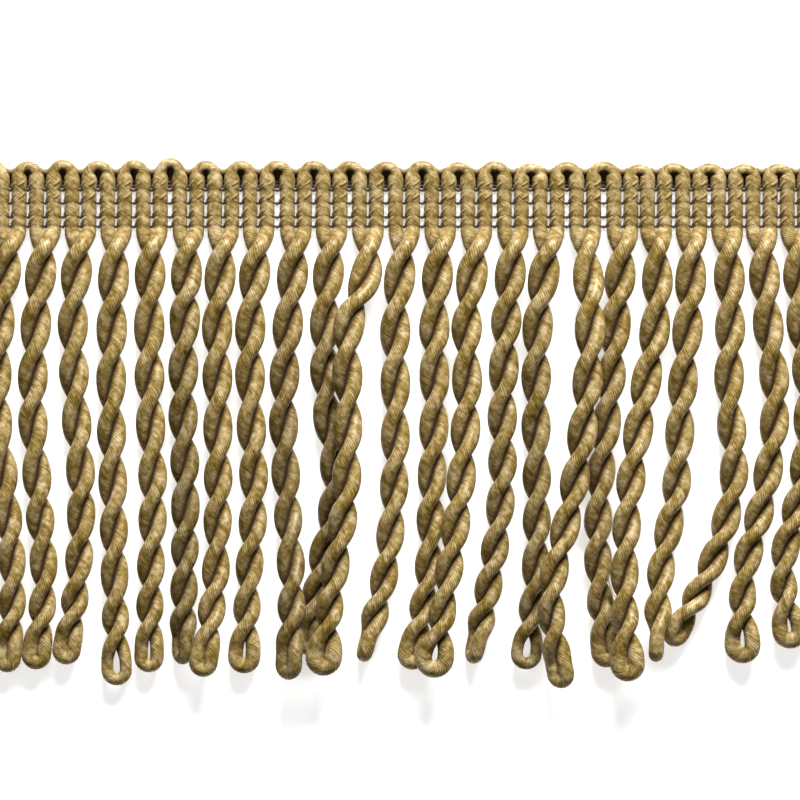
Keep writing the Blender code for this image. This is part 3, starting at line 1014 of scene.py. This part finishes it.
class FRINGE_OT_stitches(Operator):
    """Bind the heading's runs with rows of chain stitch"""

    bl_idname = "fringe.stitches"
    bl_label = "Stitch the heading"

    def execute(self, context):
        settings = context.scene.fringe_heading
        # The row thread's near-black colour is painted shade.
        row_material = thread_material("row_thread", settings.row_shade_colour, roughness=0.7)
        leg_material = thread_material("leg_thread", settings.thread_colour, roughness=0.6)
        tree = thread_tree()
        rows = [row_route(row, settings) for row in STITCH_ROWS_S[:-1]]
        rows += [back_route(row, settings) for row in STITCH_ROWS_S]
        values = {"Sides": THREAD_SIDES, "Material": row_material}
        piece = dress_path("binding_rows", rows, tree, values)
        keep_piece(piece, "heading", slot="heading_gimp")
        legs = []
        for run_number, run in enumerate(run_places()):
            for row_number, row in enumerate(STITCH_ROWS_S[:-1]):
                right_too = run_number % 2 == 1 and row_number >= LEG_ROWS_BOTH
                for side in LEGS if right_too else (-1,):
                    seed = 1000 + 20 * run_number + 4 * row_number + side
                    legs.append(leg_route(run, row, side, seed, settings))
        values = {"Sides": THREAD_SIDES, "Material": leg_material}
        piece = dress_path("chain_legs", legs, tree, values)
        keep_piece(piece, "heading", slot="heading_gimp")
        return {"FINISHED"}


class FRINGE_OT_backing(Operator):
    """Lay the warp threads that close the heading behind its arches"""

    bl_idname = "fringe.backing"
    bl_label = "Lay the warp threads"

    def execute(self, context):
        settings = context.scene.fringe_heading
        # The warp threads' colour is partly painted shade under the arches.
        material = thread_material("warp_thread", settings.backing_and_shade_colour, roughness=0.8)
        runs = run_places()
        across = (runs[0] - BACKING_END_S, *runs, runs[-1] + BACKING_END_S)
        routes = []
        for row in BACKING_ROWS_S:
            places = [(x, row, BACKING_RADIUS_S) for x in across]
            routes.append((in_frame(places), [BACKING_RADIUS_S * STEP] * len(places)))
        values = {"Sides": THREAD_SIDES, "Material": material}
        piece = dress_path("warp_threads", routes, thread_tree(), values)
        keep_piece(piece, "heading", slot="heading_gimp")
        saddles = []
        for left, right in zip(runs[::2], runs[1::2]):
            middle = (left + right) / 2
            places = [
                (middle + x, SADDLE_Y_S + x * x / SADDLE_BEND_S, SADDLE_HEIGHT_S)
                for x in SADDLE_PLACES_S
            ]
            saddles.append((in_frame(places), [SADDLE_RADIUS_S * STEP] * len(places)))
        material = thread_material("saddle_thread", settings.saddle_colour, roughness=0.6)
        values = {"Sides": SADDLE_SIDES, "Material": material}
        piece = dress_path("saddles", saddles, thread_tree(), values)
        keep_piece(piece, "heading", slot="heading_gimp")
        return {"FINISHED"}


def floor_material(colour):
    """Plain and matt."""
    material, _, shader = new_material("pale_floor")
    shader.inputs["Base Color"].default_value = (*colour, 1.0)
    shader.inputs["Roughness"].default_value = 0.9
    return material


def add_light(name, lamp, target, power):
    """Hang a rectangular light that faces a target."""
    light = bpy.data.lights.new(name, "AREA")
    light.shape = "RECTANGLE"
    light.size, light.size_y = lamp.size
    light.energy = power
    thing = bpy.data.objects.new(name, light)
    aim = (Vector(target) - Vector(lamp.place)).to_track_quat("-Z", "Y")
    thing.matrix_world = Matrix.Translation(lamp.place) @ aim.to_matrix().to_4x4()
    bpy.context.scene.collection.objects.link(thing)
    return thing


class FRINGE_OT_stage(Operator):
    """Put down the floor, the lights and the camera"""

    bl_idname = "fringe.stage"
    bl_label = "Set the stage"

    def execute(self, context):
        settings = context.scene.fringe_stage
        bpy.ops.mesh.primitive_plane_add(size=FLOOR_SIZE, location=(0.0, 0.0, 0.0))
        floor = context.object
        floor.name = "floor"
        floor.data.materials.append(floor_material(settings.floor_colour))
        side = PHOTO_SIDE_PX * STEP
        middle_x = ZERO_X + PHOTO_LEFT_S * STEP + side / 2
        middle_y = ZERO_Y + PHOTO_TOP_S * STEP - side / 2
        camera_data = bpy.data.cameras.new("camera")
        camera_data.sensor_width = SENSOR_MM
        camera_data.lens = SENSOR_MM * settings.camera_height / side
        camera = bpy.data.objects.new("camera", camera_data)
        camera.location = (middle_x, middle_y, settings.camera_height + settings.face_height)
        context.scene.collection.objects.link(camera)
        context.scene.camera = camera
        centre = (middle_x, middle_y, 0.0)
        add_light("key", KEY, centre, settings.key_power)
        add_light("fill", FILL, centre, settings.key_power * FILL_SHARE)
        wash = add_light("floor_wash", WASH, centre, settings.wash_power)
        floor_only = bpy.data.collections.new("floor_wash_receives")
        floor_only.objects.link(floor)
        wash.light_linking.receiver_collection = floor_only
        wash.light_linking.blocker_collection = floor_only
        world = bpy.data.worlds.new("studio")
        world.use_nodes = True
        back = world.node_tree.nodes["Background"]
        back.inputs["Color"].default_value = (1.0, 1.0, 1.0, 1.0)
        back.inputs["Strength"].default_value = settings.world_strength
        context.scene.world = world
        context.scene.view_settings.view_transform = "Standard"
        return {"FINISHED"}


class FRINGE_PT_panel(Panel):
    """Lists the trim's sizes and operators"""

    bl_idname = "FRINGE_PT_panel"
    bl_label = "Cord fringe trim"
    bl_space_type = "VIEW_3D"
    bl_region_type = "UI"
    bl_category = "Fringe"

    def draw(self, context):
        layout = self.layout
        for group in GROUPS:
            settings = getattr(context.scene, group)
            for name in settings.__annotations__:
                layout.prop(settings, name)
        for operator in OPERATORS:
            layout.operator(operator.bl_idname)


OPERATORS = (FRINGE_OT_gimp_cord, FRINGE_OT_stitches, FRINGE_OT_backing, FRINGE_OT_stage)
GROUPS = {
    "fringe_gimp": GimpSettings,
    "fringe_heading": HeadingSettings,
    "fringe_stage": StageSettings,
}


def register():
    for group in GROUPS.values():
        bpy.utils.register_class(group)
    for name, group in GROUPS.items():
        setattr(bpy.types.Scene, name, PointerProperty(type=group))
    for operator in (*OPERATORS, FRINGE_PT_panel):
        bpy.utils.register_class(operator)


def unregister():
    for operator in reversed((*OPERATORS, FRINGE_PT_panel)):
        bpy.utils.unregister_class(operator)
    for name in GROUPS:
        delattr(bpy.types.Scene, name)
    for group in reversed(GROUPS.values()):
        bpy.utils.unregister_class(group)


def main():
    register()
    bpy.ops.fringe.gimp_cord()
    bpy.ops.fringe.stitches()
    bpy.ops.fringe.backing()
    bpy.ops.fringe.stage()


if __name__ == "__main__":
    main()
